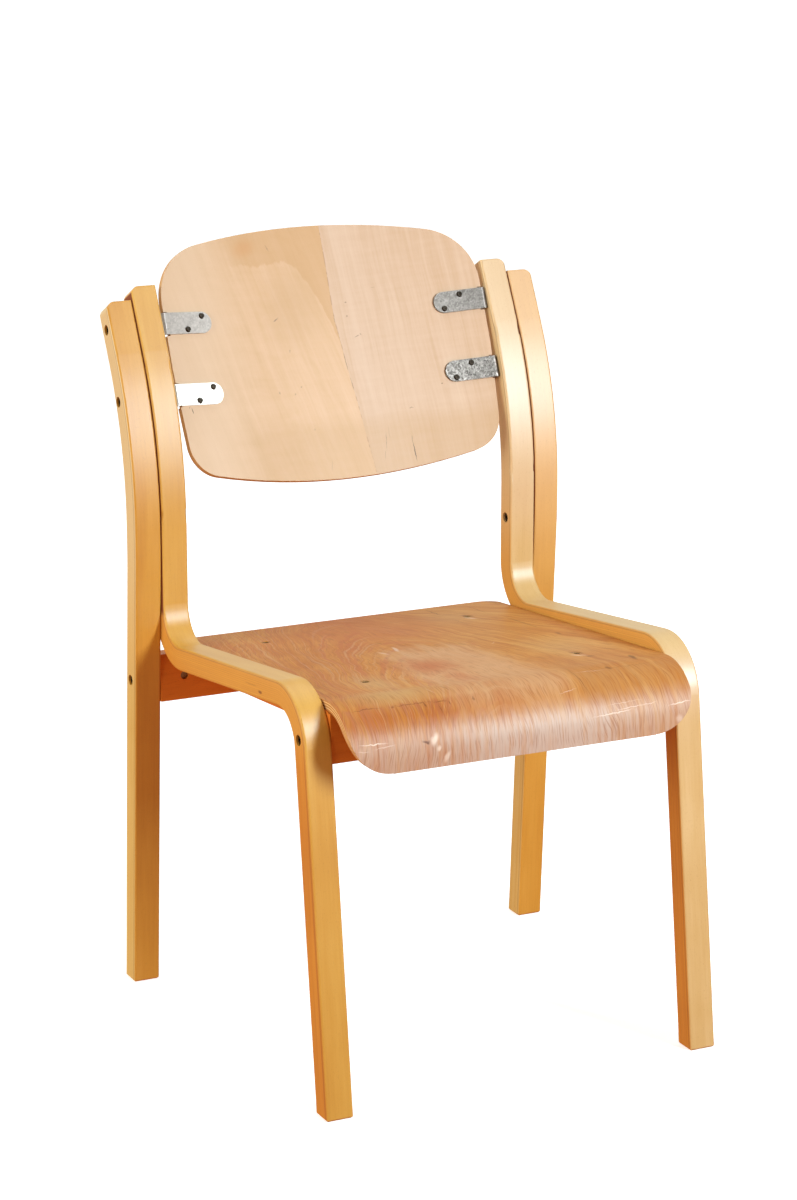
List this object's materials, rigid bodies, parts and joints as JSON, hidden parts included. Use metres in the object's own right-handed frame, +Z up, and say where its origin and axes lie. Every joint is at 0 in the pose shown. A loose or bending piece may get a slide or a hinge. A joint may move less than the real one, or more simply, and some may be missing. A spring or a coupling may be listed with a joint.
{
  "type": "choir chair",
  "caption": "Stacking chair with bent laminated wood side frames, separate rear legs, a plywood seat with a rolled front and a hollow plywood back on steel brackets.",
  "frame": {"origin": "on the floor, in the middle of the chair's width and depth", "axes": "+Z is up, +Y points to the back of the chair, +X to the right of someone who looks at its front"},
  "size_m": [0.541, 0.5728, 0.8594],
  "materials": {
    "frame_wood": "clear satin lacquer on honey-coloured laminated beech",
    "seat_wood": "worn reddish veneer under old lacquer",
    "rail_wood": "clear lacquered beech",
    "panel_wood": "pale peach veneer under satin lacquer",
    "bracket_steel": "zinc plated, mottled",
    "bolt_steel": "dark oxide",
    "nut_steel": "zinc plated",
    "screw_steel": "tarnished zinc",
    "insert_brass": "turned",
    "dowel_wood": "plain beech"
  },
  "bodies": {
    "root": {"left_side_frame": "frame_wood", "right_side_frame": "frame_wood", "left_rear_leg": "frame_wood", "right_rear_leg": "frame_wood", "seat_panel": "seat_wood", "front_rail": "rail_wood", "rear_rail": "rail_wood", "left_bearer": "rail_wood", "right_bearer": "rail_wood", "back_panel": "panel_wood", "upper_left_bracket": "bracket_steel", "lower_left_bracket": "bracket_steel", "upper_right_bracket": "bracket_steel", "lower_right_bracket": "bracket_steel", "bracket_bolts": "bolt_steel", "bracket_nuts": "nut_steel", "bracket_screws": "screw_steel", "rail_bolts": "bolt_steel", "barrel_nuts": "nut_steel", "joint_bolts": "bolt_steel", "threaded_inserts": "insert_brass", "seat_screws": "screw_steel", "rail_dowels": "dowel_wood", "bearer_dowels": "dowel_wood"}
  },
  "joints": []
}
